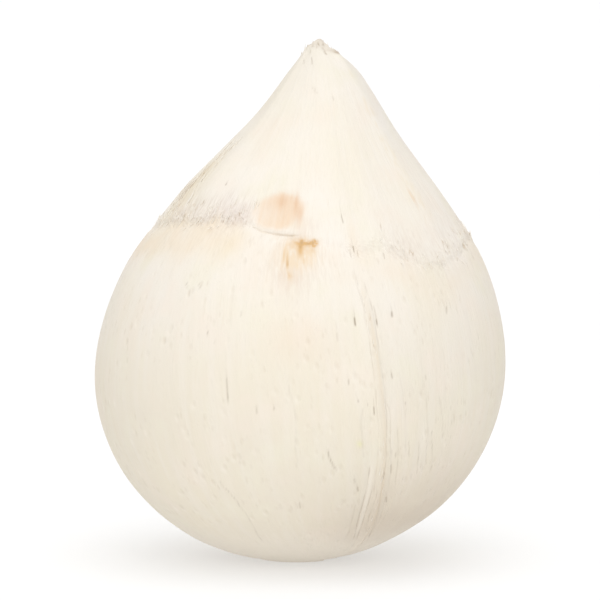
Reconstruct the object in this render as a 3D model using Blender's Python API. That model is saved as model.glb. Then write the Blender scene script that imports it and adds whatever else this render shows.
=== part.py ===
"""A young coconut with its husk cut away: a shaved ball below, a pointed cone cut with a knife above.

It stands on a small flat spot, +Z up, and its front, with the scoop and the long welt, faces -Y.
An azimuth is an angle round the husk, in degrees: 0 at the front and 90 at +X, the right side.
"""

import math

import bmesh
import bpy
from mathutils import Vector, noise

# Overall form, in metres
HEIGHT = 0.150
BALL_RADIUS = 0.0594
BALL_MIDDLE = 0.0539
BALL_DROP = 0.0550
BALL_RISE = 0.0640
BALL_LEAN = 0.034
LEAN_GROWS = 0.6
SHOULDER = 0.0905
CONE_AIM_X = 0.0080
CONE_AIM_HEIGHT = 0.1545

# How far the cone stands out of its straight sides near its foot and near its neck, by azimuth
FOOT_SWELL = ((-180, 0.0009), (-90, 0.0018), (0, 0.0010), (90, 0.0009))
NECK_SWELL = ((-180, -0.0004), (-90, -0.0018), (0, -0.0004), (90, -0.0002))
FOOT_SHARE, FOOT_REACH = 0.20, 0.13
NECK_SHARE, NECK_REACH = 0.56, 0.18

# The ridges between the knife's flat strokes on the cone, and how flat the strokes are, from 0 to 1
RIDGE_AZIMUTHS = (-102, -57, 8, 52, 104, 152, 206)
STROKE_FLATNESS = 0.38
FLATNESS_FADES_IN = 0.30

# Flat strokes of the knife on the ball, as (azimuth, tilt upwards, depth)
SHAVES = (
    (-84, 22, 0.0012),
    (-150, 8, 0.0009),
    (165, -14, 0.0010),
    (122, 24, 0.0009),
    (-118, -30, 0.0006),
    (84, -34, 0.0004),
)
CUT_SOFTNESS = 0.0003
LEAST_FACING = 0.05

# Height of the crease where the strokes end on the ball, by azimuth
CREASE_STATIONS = (
    (-165, 0.0905),
    (-130, 0.0965),
    (-100, 0.0958),
    (-71, 0.0970),
    (-50, 0.0988),
    (-28, 0.0989),
    (-15, 0.0965),
    (0, 0.0943),
    (12, 0.0918),
    (22, 0.0922),
    (34, 0.0877),
    (43, 0.0867),
    (60, 0.0898),
    (78, 0.0932),
    (105, 0.0890),
    (135, 0.0945),
    (165, 0.0955),
)
CREASE_DEPTH, CREASE_REACH = 0.0009, 0.0008
LIP_HEIGHT, LIP_ABOVE_CREASE, LIP_REACH = 0.0003, 0.0021, 0.0013
CREASE_STRENGTH, LEAST_CREASE_STRENGTH = 0.5, 0.1
CREASE_CHANGES_PER_TURN = 4

# The oval scoop above the crease at the front, whose lower edge is a thin lifted flap
SCOOP_AZIMUTH = -17.5
SCOOP_ABOVE_CREASE = 0.0054
SCOOP_HALF_WIDTH = 0.0078
SCOOP_HALF_HEIGHT = 0.0058
SCOOP_DEPTH = 0.0009
FLAP_HALF_ANGLE = 11
FLAP_EXTRA_DEPTH = 0.0007

# The welt of long fibres down the front of the ball; the fibres beside it drift with it, to the right
WELT_AZIMUTH = 10.9
WELT_HALF_ANGLE = 2.4
WELT_HEIGHT = 0.0008
WELT_GROOVE_DEPTH, WELT_GROOVE_AT, WELT_GROOVE_REACH = 0.00025, 1.5, 0.6
WELT_STARTS_AT, WELT_FADES_IN = 0.083, 0.012
WELT_ENDS_AT, WELT_FADES_OUT = 0.0015, 0.006
DRIFT_STARTS_AT = 0.092
DRIFT_DEGREES_PER_METRE = 118
DRIFT_REACH = 50

# The snapped tip: planes that cut it, as (azimuth, tilt of the cut above the horizon, height on the axis)
TIP_AXIS_X = 0.0052
TIP_CUTS = (
    (90, 38, 0.1503),
    (-90, 42, 0.1506),
    (15, 40, 0.1506),
    (190, 45, 0.1507),
)
TIP_RAGGED_FROM, TIP_RAGGED_FADE = 0.1435, 0.003
TIP_RAGGEDNESS, TIP_RAG_SPACING = 0.0007, 0.0025
LEAST_REACH = 0.0002

# Unevenness left by the blades
BALL_WAVE = 0.0003
CONE_WAVE = 0.0005
WAVE_SPACING = 0.022
WAVES_FADE_TO_GROUND = 0.008

# The columns of the grid are long fibres, round an axis from where they meet below to the tip
FIBRE_POLE_X = 0.0065
COLUMNS = 108
FRONT_CROWDING = 0.28
FLAT_ROWS = 3
BALL_ROWS = 21
CREASE_ROW_OFFSETS = (-0.0026, -0.0013, 0.0, 0.0013, 0.0026)
CONE_ROWS = 14
TIP_ROW_HEIGHTS = (0.1450, 0.1462, 0.1474, 0.1486, 0.1495)

HUSK_COLOUR = (0.90, 0.82, 0.66, 1.0)
HUSK_ROUGHNESS = 0.62


def bell(x):
    return math.exp(-x * x)


def smooth_step(x):
    x = min(1.0, max(0.0, x))
    return x * x * (3 - 2 * x)


def turned(azimuth):
    """The same direction, from -180 up to 180 degrees."""
    return (azimuth + 180) % 360 - 180


def outward(azimuth, tilt=0.0):
    """Unit vector that faces an azimuth, tilted up from the horizon."""
    angle = math.radians(azimuth)
    level = math.cos(math.radians(tilt))
    return Vector((level * math.sin(angle), -level * math.cos(angle), math.sin(math.radians(tilt))))


def closed_curve(stations, azimuth):
    """Value at an azimuth on the smooth closed curve through (azimuth, value) stations."""
    azimuth = turned(azimuth - stations[0][0] - 180) + 180 + stations[0][0]
    index = sum(1 for station in stations if station[0] <= azimuth)

    def station(i):
        laps, i = divmod(i, len(stations))
        return stations[i][0] + 360 * laps, stations[i][1]

    (a0, v0), (a1, v1), (a2, v2), (a3, v3) = (station(index + k) for k in (-2, -1, 0, 1))
    span = a2 - a1
    slope_in = (v2 - v0) / (a2 - a0) * span
    slope_out = (v3 - v1) / (a3 - a1) * span
    t = (azimuth - a1) / span
    return (
        v1 * (2 * t**3 - 3 * t**2 + 1)
        + slope_in * (t**3 - 2 * t**2 + t)
        + v2 * (3 * t**2 - 2 * t**3)
        + slope_out * (t**3 - t**2)
    )


def soft_least(values):
    """The least of the values, with the corner between near ones rounded."""
    least = min(values)
    total = sum(math.exp((least - value) / CUT_SOFTNESS) for value in values)
    return least - CUT_SOFTNESS * math.log(total)


def crease_height(azimuth):
    return closed_curve(CREASE_STATIONS, azimuth)


def centre_x(height):
    """The middle of the cross-section leans to the right, more above the ball's middle."""
    rise = min(height, SHOULDER) - BALL_MIDDLE
    lean = BALL_LEAN * rise + LEAN_GROWS * max(0.0, rise) ** 2
    into_cone = max(0.0, height - SHOULDER) / (CONE_AIM_HEIGHT - SHOULDER)
    return lean + (CONE_AIM_X - lean) * into_cone


def ball_radius(height):
    half = BALL_RISE if height > BALL_MIDDLE else BALL_DROP
    rise = (height - BALL_MIDDLE) / half
    return BALL_RADIUS * math.sqrt(max(0.0, 1 - rise * rise))


def stroke_narrowing(azimuth):
    """1 on a ridge between two knife strokes, less in the middle of a stroke, as on a polygon's side."""
    first = RIDGE_AZIMUTHS[0]
    azimuth = turned(azimuth - first - 180) + 180 + first
    ridges = [*RIDGE_AZIMUTHS, first + 360]
    left, right = next(pair for pair in zip(ridges, ridges[1:]) if azimuth <= pair[1])
    half = math.radians(right - left) / 2
    off = math.radians(azimuth - (left + right) / 2)
    return math.cos(half) / math.cos(off)


def cone_radius(azimuth, height):
    """The knife's strokes run from the crease to one point above the tip."""
    start = crease_height(azimuth)
    share = (height - start) / (CONE_AIM_HEIGHT - start)
    foot = closed_curve(FOOT_SWELL, azimuth) * bell((share - FOOT_SHARE) / FOOT_REACH)
    neck = closed_curve(NECK_SWELL, azimuth) * bell((share - NECK_SHARE) / NECK_REACH)
    flat = STROKE_FLATNESS * smooth_step(share / FLATNESS_FADES_IN)
    full = ball_radius(start) * (1 - share) + foot + neck
    return full * (1 - flat * (1 - stroke_narrowing(azimuth)))


def axis_point(height):
    share = height / HEIGHT
    return Vector((FIBRE_POLE_X + (TIP_AXIS_X - FIBRE_POLE_X) * share, 0, height))


def fibre_azimuth(fibre, height):
    """Where a long fibre is at a height, named by its azimuth at the crease."""
    beside_welt = bell(turned(fibre - WELT_AZIMUTH) / DRIFT_REACH)
    fallen = max(0.0, DRIFT_STARTS_AT - height)
    return fibre + DRIFT_DEGREES_PER_METRE * fallen * beside_welt


def shave_reaches(axis, direction):
    """How far from the axis each flat stroke lets the ball reach in this direction."""
    for azimuth, tilt, depth in SHAVES:
        facing = outward(azimuth, tilt)
        half = BALL_RISE if tilt > 0 else BALL_DROP
        furthest = math.hypot(BALL_RADIUS * math.hypot(facing.x, facing.y), half * facing.z)
        towards = facing.dot(direction)
        if towards > LEAST_FACING:
            gap = furthest - depth - facing.dot(axis - Vector((0, 0, BALL_MIDDLE)))
            yield gap / towards


def tip_reaches(axis, direction):
    """How far from the axis each cut at the tip lets the husk reach in this direction."""
    for azimuth, tilt, top in TIP_CUTS:
        facing = outward(azimuth, 90 - tilt)
        towards = facing.dot(direction)
        if towards > LEAST_FACING:
            yield (top - axis.z) * facing.z / towards


def skin_point(fibre, height):
    """The point of the smooth husk on a fibre at a height."""
    azimuth = fibre_azimuth(fibre, height)
    direction = outward(azimuth)
    axis = axis_point(height)
    on_cone = height > crease_height(fibre)
    radius = cone_radius(azimuth, height) if on_cone else ball_radius(height)
    off_axis = centre_x(height) - axis.x
    along = off_axis * direction.x
    aside = off_axis**2 - along**2
    reach = along + math.sqrt(max(0.0, radius * radius - aside))
    cuts = tip_reaches if height > TIP_RAGGED_FROM else shave_reaches
    reach = soft_least([reach, *cuts(axis, direction)])
    return axis + direction * max(reach, LEAST_REACH)


def column_fibres():
    """Closer together at the front, with one on the welt and one on each of its sides."""
    fibres = [WELT_AZIMUTH - WELT_HALF_ANGLE / 2, WELT_AZIMUTH + WELT_HALF_ANGLE / 2]
    for i in range(COLUMNS):
        turn = 2 * math.pi * i / COLUMNS
        crowded = turn - FRONT_CROWDING * math.sin(turn)
        fibres.append(turned(math.degrees(crowded) + WELT_AZIMUTH))
    return sorted(fibres)


def column_heights(fibre):
    """The heights of a column's points from the rim of the flat spot up to the tip."""
    crease = crease_height(fibre)
    rim = math.acos(BALL_MIDDLE / BALL_DROP)
    below = crease + CREASE_ROW_OFFSETS[0]
    top = math.pi / 2 + math.asin((below - BALL_MIDDLE) / BALL_RISE)
    heights = []
    for i in range(BALL_ROWS):
        angle = rim + (top - rim) * i / BALL_ROWS
        half = BALL_RISE if angle > math.pi / 2 else BALL_DROP
        heights.append(BALL_MIDDLE - half * math.cos(angle))
    heights += [crease + offset for offset in CREASE_ROW_OFFSETS]
    above, end = heights[-1], TIP_ROW_HEIGHTS[0]
    heights += [above + (end - above) * (i + 1) / CONE_ROWS for i in range(CONE_ROWS - 1)]
    return [*heights, *TIP_ROW_HEIGHTS]


def scoop(fibre, above_crease):
    around = math.radians(turned(fibre - SCOOP_AZIMUTH)) * ball_radius(crease_height(fibre))
    up = above_crease - SCOOP_ABOVE_CREASE
    oval = math.hypot(around / SCOOP_HALF_WIDTH, up / SCOOP_HALF_HEIGHT)
    return -SCOOP_DEPTH * bell(oval * oval)


def crease(fibre, above_crease):
    """A groove with a low lip above it, deeper and sharper along the flap, fainter here and there."""
    changing = noise.noise(outward(fibre) * CREASE_CHANGES_PER_TURN)
    strength = max(LEAST_CREASE_STRENGTH, CREASE_STRENGTH + changing)
    groove = bell(above_crease / CREASE_REACH)
    lip = bell((above_crease - LIP_ABOVE_CREASE) / LIP_REACH)
    flap = bell((turned(fibre - SCOOP_AZIMUTH) / FLAP_HALF_ANGLE) ** 2)
    return strength * (LIP_HEIGHT * lip - CREASE_DEPTH * groove) - FLAP_EXTRA_DEPTH * flap * groove


def welt(fibre, height):
    """A low ridge with a shallow groove along each foot."""
    across = abs(turned(fibre - WELT_AZIMUTH)) / WELT_HALF_ANGLE
    ridge = WELT_HEIGHT * max(0.0, 1 - across * across) ** 2
    groove = WELT_GROOVE_DEPTH * bell((across - WELT_GROOVE_AT) / WELT_GROOVE_REACH)
    below_start = smooth_step((WELT_STARTS_AT - height) / WELT_FADES_IN)
    above_end = smooth_step((height - WELT_ENDS_AT) / WELT_FADES_OUT)
    return (ridge - groove) * below_start * above_end


def blade_waves(point, above_crease):
    """Slow swells and hollows, none at the crease and none near the flat spot."""
    size = CONE_WAVE if above_crease > 0 else BALL_WAVE
    clear = (1 - bell(above_crease / LIP_REACH)) * smooth_step(point.z / WAVES_FADE_TO_GROUND)
    return size * clear * noise.noise(point / WAVE_SPACING)


def torn_tip(point):
    ragged = smooth_step((point.z - TIP_RAGGED_FROM) / TIP_RAGGED_FADE)
    return TIP_RAGGEDNESS * ragged * noise.noise(point / TIP_RAG_SPACING)


def relief(fibre, point):
    """How far the real skin stands out of the smooth husk at this point."""
    above_crease = point.z - crease_height(fibre)
    return (
        crease(fibre, above_crease)
        + scoop(fibre, above_crease)
        + welt(fibre, point.z)
        + blade_waves(point, above_crease)
        + torn_tip(point)
    )


def husk_mesh():
    """A grid of columns and rows round the husk, closed by a fan in the flat spot and one at the tip."""
    grid = bmesh.new()
    fibres = column_fibres()
    pole = Vector((FIBRE_POLE_X, 0, 0))
    columns = []
    for fibre in fibres:
        points = [skin_point(fibre, height) for height in column_heights(fibre)]
        flat = [pole.lerp(points[0], k / FLAT_ROWS) for k in range(1, FLAT_ROWS)]
        columns.append([grid.verts.new(point) for point in flat + points])
    bottom = grid.verts.new(pole)
    top = grid.verts.new(Vector((TIP_AXIS_X, 0, HEIGHT)))
    for column, beside in zip(columns, columns[1:] + columns[:1]):
        grid.faces.new((bottom, beside[0], column[0]))
        for low in range(len(column) - 1):
            grid.faces.new((column[low], beside[low], beside[low + 1], column[low + 1]))
        grid.faces.new((column[-1], beside[-1], top))
    grid.normal_update()
    shifts = [
        (vert, vert.normal * relief(fibre, vert.co))
        for fibre, column in zip(fibres, columns)
        for vert in column[FLAT_ROWS:]
    ]
    for vert, shift in shifts:
        vert.co += shift
    return grid


def stand_on_origin(grid):
    """Puts the origin on the ground, under the middle of the husk's box."""
    xs = [vert.co.x for vert in grid.verts]
    ys = [vert.co.y for vert in grid.verts]
    middle = Vector(((min(xs) + max(xs)) / 2, (min(ys) + max(ys)) / 2, 0))
    bmesh.ops.translate(grid, verts=grid.verts, vec=-middle)


def husk_material():
    material = bpy.data.materials.new("shaved_husk")
    material.use_nodes = True
    shader = material.node_tree.nodes["Principled BSDF"]
    shader.inputs["Base Color"].default_value = HUSK_COLOUR
    shader.inputs["Roughness"].default_value = HUSK_ROUGHNESS
    shader.inputs["Metallic"].default_value = 0.0
    return material


def make_coconut():
    grid = husk_mesh()
    stand_on_origin(grid)
    bmesh.ops.recalc_face_normals(grid, faces=grid.faces)
    mesh = bpy.data.meshes.new("coconut")
    grid.to_mesh(mesh)
    grid.free()
    mesh.shade_smooth()
    mesh.materials.append(husk_material())
    coconut = bpy.data.objects.new("coconut", mesh)
    bpy.context.scene.collection.objects.link(coconut)
    return coconut


for leftover in list(bpy.data.objects):
    bpy.data.objects.remove(leftover)
make_coconut()
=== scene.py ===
import math
import random

import bmesh
import bpy
import numpy as np
from mathutils import Matrix, Vector, noise
from mathutils.bvhtree import BVHTree


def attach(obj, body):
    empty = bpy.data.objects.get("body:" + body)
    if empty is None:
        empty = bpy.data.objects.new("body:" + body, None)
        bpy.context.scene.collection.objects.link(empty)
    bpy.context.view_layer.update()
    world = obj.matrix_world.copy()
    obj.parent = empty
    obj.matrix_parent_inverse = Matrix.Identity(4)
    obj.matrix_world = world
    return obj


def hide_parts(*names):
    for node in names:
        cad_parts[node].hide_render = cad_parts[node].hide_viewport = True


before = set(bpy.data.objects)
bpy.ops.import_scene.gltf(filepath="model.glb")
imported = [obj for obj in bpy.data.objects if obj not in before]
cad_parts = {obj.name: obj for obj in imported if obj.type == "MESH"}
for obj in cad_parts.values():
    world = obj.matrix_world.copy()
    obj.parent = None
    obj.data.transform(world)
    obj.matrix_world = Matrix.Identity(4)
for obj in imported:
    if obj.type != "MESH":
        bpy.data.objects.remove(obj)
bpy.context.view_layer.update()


# small helpers

def bell(x):
    return np.exp(-np.square(x))


def smoothStep(x):
    x = np.clip(x, 0, 1)
    return x * x * (3 - 2 * x)


def window(x, start, rise, end, fall):
    # 1 between start and end, easing in over rise and out over fall
    return smoothStep((x - start) / rise) * smoothStep((end - x) / fall)


def turned(angle):
    return (angle + 180) % 360 - 180  # the same direction, from -180 to 180


def noiseAt(places):
    return np.array([noise.noise(place) for place in places.tolist()])


def selectOnly(piece):
    bpy.ops.object.select_all(action="DESELECT")
    piece.select_set(True)
    bpy.context.view_layer.objects.active = piece


def editMode(kind, action):
    # everything selected or nothing, as vertices, edges or faces
    bpy.ops.object.mode_set(mode="EDIT")
    bpy.ops.mesh.select_mode(type=kind)
    bpy.ops.mesh.select_all(action=action)


def triples(rows, name):
    # places or normals as rows of x, y and z
    values = np.empty(len(rows) * 3, dtype=np.float32)
    rows.foreach_get(name, values)
    return values.reshape(-1, 3).astype(float)


def moveVertices(mesh, places):
    mesh.vertices.foreach_set("co", places.astype(np.float32).ravel())
    mesh.update()


def keepValues(mesh, name, values):
    attribute = mesh.attributes.get(name) or mesh.attributes.new(name, "FLOAT", "POINT")
    attribute.data.foreach_set("value", np.asarray(values, dtype=np.float32))


def keptValues(mesh, name):
    values = np.empty(len(mesh.vertices), dtype=np.float32)
    mesh.attributes[name].data.foreach_get("value", values)
    return values.astype(float)


def keepVectors(mesh, name, vectors):
    attribute = mesh.attributes.new(name, "FLOAT_VECTOR", "POINT")
    attribute.data.foreach_set("vector", vectors.astype(np.float32).ravel())


# camera, floor and light

studio = {
    "aim": (0, 0, 0.0745),
    "elevation": 5,  # degrees above the horizon
    "distance": 1.1,
    "lens": 228.6,
    "sensor": 36,
    "near": 0.01, "far": 200,  # what the camera sees
    "floorRadius": 40, "floorSides": 96,
    "floorDrop": 0.0002,  # just under the flat spot
    "floorRoughness": 0.9, "floorSpeckle": 30.0,
    "floorColour": (0.55, 0.55, 0.55, 1), "floorPatches": (0.58, 0.58, 0.58, 1),
    "floorGlow": 0.385,  # as on a light table
    "skyOverhead": 1.08,  # how bright it is above, in front and behind
    "skyAside": (0.18, 0.23),  # and at the left and right
    "topLight": 0.51, "topFrom": (0, 80), "topAngle": 55,  # strength, azimuth and elevation, how wide
    "softboxPlace": (-0.15, -1.6, 0.7), "softboxSize": 1.5, "softboxPower": 5.6,
}


def placeCamera():
    tilt = math.radians(studio["elevation"])
    back = Vector((0, -math.cos(tilt), math.sin(tilt)))
    bpy.ops.object.camera_add(location=Vector(studio["aim"]) + back * studio["distance"],
                              rotation=(math.pi / 2 - tilt, 0, 0))
    camera = bpy.context.object
    camera.data.sensor_width, camera.data.lens = studio["sensor"], studio["lens"]
    camera.data.clip_start, camera.data.clip_end = studio["near"], studio["far"]
    bpy.context.scene.camera = camera


def placeLights():
    sky = bpy.data.worlds.new("studioSky")
    sky.use_nodes = True
    tree = sky.node_tree
    way = addNode(tree, "SeparateXYZ", {0: addNode(tree, "TexCoord").outputs["Generated"]})
    nearFloor = addNode(tree, "MapRange", {"Value": way.outputs["Z"], "To Min": 1.0, "To Max": 0.0})
    aside = addNode(tree, "Math", {0: way.outputs["X"], 1: nearFloor.outputs[0]}, operation="MULTIPLY")
    shades = addNode(tree, "ValToRGB", {0: addNode(tree, "MapRange", {
        "Value": aside.outputs[0], "From Min": -1.0, "From Max": 1.0}).outputs[0]})
    overhead, (left, right) = studio["skyOverhead"], studio["skyAside"]
    ramp = shades.color_ramp
    ramp.elements[0].color = (left, left, left, 1)
    ramp.elements[1].color = (right, right, right, 1)
    ramp.elements.new(0.5).color = (overhead, overhead, overhead, 1)
    tree.links.new(shades.outputs[0], tree.nodes["Background"].inputs["Color"])
    bpy.context.scene.world = sky
    azimuth, elevation = studio["topFrom"]
    bpy.ops.object.light_add(type="SUN", location=(0, 0, 1),
                             rotation=(math.radians(90 - elevation), 0, math.radians(azimuth)))
    top = bpy.context.object
    top.name = "topLight"
    top.data.energy = studio["topLight"]
    top.data.angle = math.radians(studio["topAngle"])
    place = Vector(studio["softboxPlace"])
    aim = Vector(studio["aim"]) - place
    bpy.ops.object.light_add(type="AREA", location=place, rotation=aim.to_track_quat("-Z", "Y").to_euler())
    softbox = bpy.context.object
    softbox.name = "softbox"
    softbox.data.shape = "SQUARE"
    softbox.data.size = studio["softboxSize"]
    softbox.data.energy = studio["softboxPower"]
    softbox.visible_camera = False


def layFloor():
    bpy.ops.object.select_all(action="DESELECT")
    bpy.ops.mesh.primitive_circle_add(vertices=studio["floorSides"], radius=studio["floorRadius"], fill_type="NGON",
                                      location=(0, 0, -studio["floorDrop"]))
    floor = bpy.context.object
    floor.name = "floor"
    bpy.ops.object.transform_apply(location=True)
    paper, tree, shader = newMaterial("palePaper")
    shader.inputs["Roughness"].default_value = studio["floorRoughness"]
    shader.inputs["Emission Color"].default_value = (1, 1, 1, 1)
    shader.inputs["Emission Strength"].default_value = studio["floorGlow"]
    speckle = addNode(tree, "TexNoise", {"Scale": studio["floorSpeckle"], "Detail": 3.0})
    tint = addNode(tree, "Mix", {0: speckle.outputs[0], 6: studio["floorColour"],
                                           7: studio["floorPatches"]}, data_type="RGBA")
    tree.links.new(tint.outputs[2], shader.inputs["Base Color"])
    floor.data.materials.append(paper)


def addNode(tree, kind, inputs=None, **settings):
    # a node whose inputs are given as plain values or as other nodes' sockets
    made = tree.nodes.new("ShaderNode" + kind)
    for name, value in settings.items():
        setattr(made, name, value)
    for name, value in (inputs or {}).items():
        if isinstance(value, bpy.types.NodeSocket):
            tree.links.new(value, made.inputs[name])
        else:
            made.inputs[name].default_value = value
    return made


def newMaterial(name):
    material = bpy.data.materials.new(name)
    material.use_nodes = True
    return material, material.node_tree, material.node_tree.nodes["Principled BSDF"]


def bumpy(tree, shader, look, height):
    bump = addNode(tree, "Bump", {"Strength": look["bump"], "Distance": look["bumpDepth"],
                                            "Height": height})
    tree.links.new(bump.outputs[0], shader.inputs["Normal"])


placeCamera()
placeLights()
layFloor()
print("camera, light and floor placed")


# the guide: a rounded copy of the CAD husk, only to measure from

guideSet = {"merge": 1e-5, "rounding": 2}


def makeGuide(node):
    guide = bpy.data.objects.new("guide", node.data.copy())
    bpy.context.collection.objects.link(guide)
    selectOnly(guide)
    editMode("VERT", "SELECT")
    bpy.ops.mesh.remove_doubles(threshold=guideSet["merge"])
    bpy.ops.mesh.tris_convert_to_quads()
    bpy.ops.object.mode_set(mode="OBJECT")
    rounding = guide.modifiers.new("rounding", "SUBSURF")
    rounding.levels = rounding.render_levels = guideSet["rounding"]
    bpy.ops.object.modifier_apply(modifier=rounding.name)
    return guide


def surfaceTree(piece):
    mesh = piece.data
    return BVHTree.FromPolygons([v.co for v in mesh.vertices], [tuple(p.vertices) for p in mesh.polygons])


# how the fibres run: named by their azimuth at the crease, 0 at the front and 90 on the right

fibreSet = {
    "poleX": 0.0065,  # where they meet below
    "tipX": 0.0052,  # and at the tip
    "height": 0.15,
    "driftFibre": 10.9,  # the fibres beside the welt drift right, down the ball
    "driftReach": 50,
    "driftFrom": 0.092,
    "driftRate": 118,
    "widest": 0.059,
}


def axisX(height):
    return fibreSet["poleX"] + (fibreSet["tipX"] - fibreSet["poleX"]) * height / fibreSet["height"]


def azimuthOf(fibre, height):
    beside = bell(turned(fibre - fibreSet["driftFibre"]) / fibreSet["driftReach"])
    fallen = np.maximum(0, fibreSet["driftFrom"] - height)
    return fibre + fibreSet["driftRate"] * fallen * beside


def skinPoint(tree, fibre, height):
    azimuth = math.radians(float(azimuthOf(fibre, height)))
    start = Vector((axisX(height), 0, height))
    hit = tree.ray_cast(start, Vector((math.sin(azimuth), -math.cos(azimuth), 0)))[0]
    return hit or start


creaseSet = {
    # azimuth in degrees, height in metres
    "stations": (
        (-165, 0.0905), (-130, 0.0965), (-100, 0.0958), (-71, 0.097), (-50, 0.0988), (-28, 0.0989),
        (-15, 0.0965), (0, 0.0943), (12, 0.0918), (22, 0.0922), (34, 0.0877), (43, 0.0867),
        (60, 0.0898), (78, 0.0932), (105, 0.089), (135, 0.0945), (165, 0.0955),
    ),
}


def creaseAt(fibre):
    # height of the crease, on the smooth closed curve through its stations
    angles, heights = np.array(creaseSet["stations"]).T
    angles = np.concatenate([angles[-2:] - 360, angles, angles[:2] + 360])
    heights = np.concatenate([heights[-2:], heights, heights[:2]])
    slopes = (heights[2:] - heights[:-2]) / (angles[2:] - angles[:-2])
    angles, heights = angles[1:-1], heights[1:-1]
    fibre = (np.asarray(fibre, dtype=float) - angles[1]) % 360 + angles[1]
    left = np.searchsorted(angles, fibre, side="right") - 1
    span = angles[left + 1] - angles[left]
    t = (fibre - angles[left]) / span
    return (heights[left] * (2 * t**3 - 3 * t**2 + 1) + slopes[left] * span * (t**3 - 2 * t**2 + t)
            + heights[left + 1] * (3 * t**2 - 2 * t**3) + slopes[left + 1] * span * (t**3 - t**2))


# dark pores and nicks, in degrees and millimetres: fibre and height of both ends, width, depth, darkness

nicks = (
    (7.4, 74.8, 7.2, 71.9, 0.42, 0.2, 0.9), (13.7, 77.7, 13.7, 73.1, 0.5, 0.1, 0.3),
    (13.7, 73.8, 13.8, 71.8, 0.45, 0.2, 0.8), (19.4, 75.9, 19.3, 74.2, 0.5, 0.2, 0.7),
    (1.8, 70.6, 1.8, 68, 0.34, 0.12, 0.42), (-32.9, 70.8, -32.8, 69, 0.34, 0.12, 0.45),
    (-31.3, 68.3, -30.4, 67.1, 0.34, 0.1, 0.38), (16, 58.9, 16.1, 57.3, 0.45, 0.14, 0.48),
    (3.1, 57.7, 3.2, 56.3, 0.4, 0.14, 0.48), (4.9, 52.4, 5, 51, 0.4, 0.12, 0.42),
    (9.4, 50.4, 9.2, 47.4, 0.36, 0.18, 0.72), (7.3, 51.4, 7.5, 49.8, 0.3, 0.08, 0.32),
    (-20.3, 51.1, -20.6, 48.1, 0.34, 0.1, 0.34), (-16.3, 50.7, -16.4, 49.3, 0.34, 0.1, 0.32),
    (2.8, 29.5, 2.8, 27.6, 0.34, 0.14, 0.52), (3.5, 27.2, 3.9, 25.3, 0.42, 0.14, 0.58),
    (14.3, 33.2, 15, 30, 0.34, 0.14, 0.68), (12.5, 31.1, 12.4, 28.3, 0.3, 0.1, 0.46),
    (14.6, 23.3, 15.6, 21.2, 0.42, 0.14, 0.58), (16, 36.5, 16.2, 34.7, 0.34, 0.1, 0.38),
    (-13.8, 22.8, -14.2, 20.2, 0.4, 0.12, 0.36), (-47, 109.9, -47, 108.9, 0.45, 0.14, 0.6),
    (-42.8, 83.1, -41, 81, 0.36, 0.12, 0.34), (-38.3, 83.3, -37.2, 81.6, 0.36, 0.12, 0.34),
    (-23.5, 76.1, -23.4, 74.2, 0.36, 0.12, 0.34), (40.7, 76.2, 40, 74.2, 0.5, 0.14, 0.48),
    (27.4, 57.8, 27.2, 56.1, 0.36, 0.1, 0.28), (19.5, 51, 19.4, 49.6, 0.4, 0.1, 0.34),
    (8.2, 102.2, 8.9, 99.2, 0.3, 0.12, 0.6), (11.2, 93.7, 11.3, 91.5, 0.36, 0.14, 0.6),
    (12.5, 92.6, 12.5, 90.2, 0.3, 0.1, 0.3), (9.7, 92.6, 9.8, 90.2, 0.3, 0.1, 0.3),
    (22.3, 91.8, 21.5, 89.4, 0.36, 0.12, 0.34), (-44.9, 144, -31.6, 142.5, 0.3, 0.12, 0.34),
    (-20.1, 144.9, -11.2, 142.5, 0.32, 0.14, 0.4), (-8.3, 136.3, -0.9, 134.5, 0.5, 0.08, 0.2),
    (14.6, 133.8, 15.1, 132.6, 0.4, 0.08, 0.24),
)

# longer ones: ((fibre, height), ...), width, depth, darkness

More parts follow.
